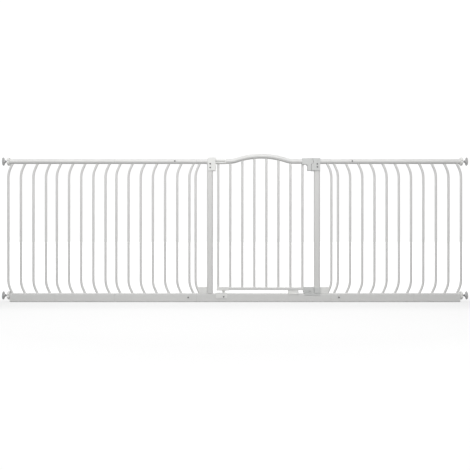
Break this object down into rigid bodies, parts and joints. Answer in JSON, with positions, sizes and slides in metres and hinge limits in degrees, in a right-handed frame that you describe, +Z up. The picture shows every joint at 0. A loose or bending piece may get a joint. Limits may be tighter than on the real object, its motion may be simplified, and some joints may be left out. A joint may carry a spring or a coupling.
{
  "type": "safety gate",
  "caption": "Pressure-fit safety gate: barred panels with a swinging arched door, sliding latches and screw-out wall pads that brace it across a wide passage.",
  "frame": {"origin": "on the floor under the middle of the gate's whole width, in the plane of the bars", "axes": "+X along the gate towards its latch side, +Y through the gate towards its back, +Z up"},
  "size_m": [2.482, 0.044, 0.7924],
  "materials": {
    "powder_coat": "white powder coat on steel tube, semi-gloss with a fine orange-peel surface",
    "white_plastic": "moulded white plastic, satin",
    "latch_plastic": "moulded pale grey plastic, matt",
    "dark_steel": "darkened steel of the cross-head screws, softly polished",
    "zinc": "zinc-plated steel",
    "pad_rubber": "grey non-marking rubber"
  },
  "bodies": {
    "frame": {"threshold_rail": "powder_coat", "left_post": "powder_coat", "right_post": "powder_coat", "left_top_stub": "powder_coat", "right_top_stub": "powder_coat", "left_side_bar": "powder_coat", "right_side_bar": "powder_coat", "foot_blocks": "white_plastic", "rail_connectors": "zinc", "joint_screws": "dark_steel", "left_inner_top_rail": "powder_coat", "left_inner_bottom_rail": "powder_coat", "left_inner_bars": "powder_coat", "left_middle_top_rail": "powder_coat", "left_middle_bottom_rail": "powder_coat", "left_middle_bars": "powder_coat", "left_outer_top_rail": "powder_coat", "left_outer_bottom_rail": "powder_coat", "left_outer_bars": "powder_coat", "right_inner_top_rail": "powder_coat", "right_inner_bottom_rail": "powder_coat", "right_inner_bars": "powder_coat", "right_outer_top_rail": "powder_coat", "right_outer_bottom_rail": "powder_coat", "right_outer_bars": "powder_coat", "rail_end_plugs": "white_plastic", "hinge_bracket": "white_plastic", "hinge_strap": "powder_coat", "hinge_pin": "zinc", "hinge_cup": "white_plastic", "cover_screws": "dark_steel", "latch_keeper": "latch_plastic", "base_keeper": "latch_plastic", "door_stop": "white_plastic"},
    "door": {"door_arch": "powder_coat", "door_bottom_rail": "powder_coat", "door_bars": "powder_coat", "hinge_fitting": "white_plastic", "pivot_bracket": "white_plastic", "pivot_pin": "zinc", "latch_housing": "latch_plastic", "latch_spring": "zinc", "base_latch_case": "latch_plastic"},
    "top_latch": {"latch_bolt": "zinc", "latch_thumb_slide": "latch_plastic"},
    "base_latch": {"base_latch_slide": "latch_plastic"},
    "left_top_wheel": {"left_top_hand_wheel": "white_plastic"},
    "left_top_foot": {"left_top_spindle": "zinc", "left_top_wall_pad": "pad_rubber"},
    "left_low_wheel": {"left_low_hand_wheel": "white_plastic"},
    "left_low_foot": {"left_low_spindle": "zinc", "left_low_wall_pad": "pad_rubber"},
    "right_top_wheel": {"right_top_hand_wheel": "white_plastic"},
    "right_top_foot": {"right_top_spindle": "zinc", "right_top_wall_pad": "pad_rubber"},
    "right_low_wheel": {"right_low_hand_wheel": "white_plastic"},
    "right_low_foot": {"right_low_spindle": "zinc", "right_low_wall_pad": "pad_rubber"}
  },
  "joints": [
    {"name": "door_swing", "type": "hinge", "parent": "frame", "child": "door", "pos_m": [-0.06095, 0, 0], "axis": [0, 0, 1], "range_deg": [-90, 90]},
    {"name": "top_latch_slide", "type": "slide", "parent": "door", "child": "top_latch", "axis": [1, 0, 0], "range_m": [0, 0.008], "deforming": ["latch_spring"]},
    {"name": "base_latch_slide", "type": "slide", "parent": "door", "child": "base_latch", "axis": [1, 0, 0], "range_m": [0, 0.008]},
    {"name": "left_top_wheel_turn", "type": "hinge", "parent": "frame", "child": "left_top_wheel", "pos_m": [-1.21, 0, 0.751], "axis": [-1, 0, 0], "range_deg": [-1080, 4320]},
    {"name": "left_top_spindle_slide", "type": "slide", "parent": "frame", "child": "left_top_foot", "axis": [-1, 0, 0], "range_m": [-0.0061, 0.0241]},
    {"name": "left_low_wheel_turn", "type": "hinge", "parent": "frame", "child": "left_low_wheel", "pos_m": [-1.21, 0, 0.035], "axis": [-1, 0, 0], "range_deg": [-1080, 4320]},
    {"name": "left_low_spindle_slide", "type": "slide", "parent": "frame", "child": "left_low_foot", "axis": [-1, 0, 0], "range_m": [-0.0061, 0.0241]},
    {"name": "right_top_wheel_turn", "type": "hinge", "parent": "frame", "child": "right_top_wheel", "pos_m": [1.21, 0, 0.751], "axis": [1, 0, 0], "range_deg": [-1080, 4320]},
    {"name": "right_top_spindle_slide", "type": "slide", "parent": "frame", "child": "right_top_foot", "axis": [1, 0, 0], "range_m": [-0.0061, 0.0241]},
    {"name": "right_low_wheel_turn", "type": "hinge", "parent": "frame", "child": "right_low_wheel", "pos_m": [1.21, 0, 0.035], "axis": [1, 0, 0], "range_deg": [-1080, 4320]},
    {"name": "right_low_spindle_slide", "type": "slide", "parent": "frame", "child": "right_low_foot", "axis": [1, 0, 0], "range_m": [-0.0061, 0.0241]}
  ],
  "couplings": [
    {"joint": "left_top_spindle_slide", "follows": "left_top_wheel_turn", "m_per_rad": 0.00031831},
    {"joint": "left_low_spindle_slide", "follows": "left_low_wheel_turn", "m_per_rad": 0.00031831},
    {"joint": "right_top_spindle_slide", "follows": "right_top_wheel_turn", "m_per_rad": 0.00031831},
    {"joint": "right_low_spindle_slide", "follows": "right_low_wheel_turn", "m_per_rad": 0.00031831}
  ]
}
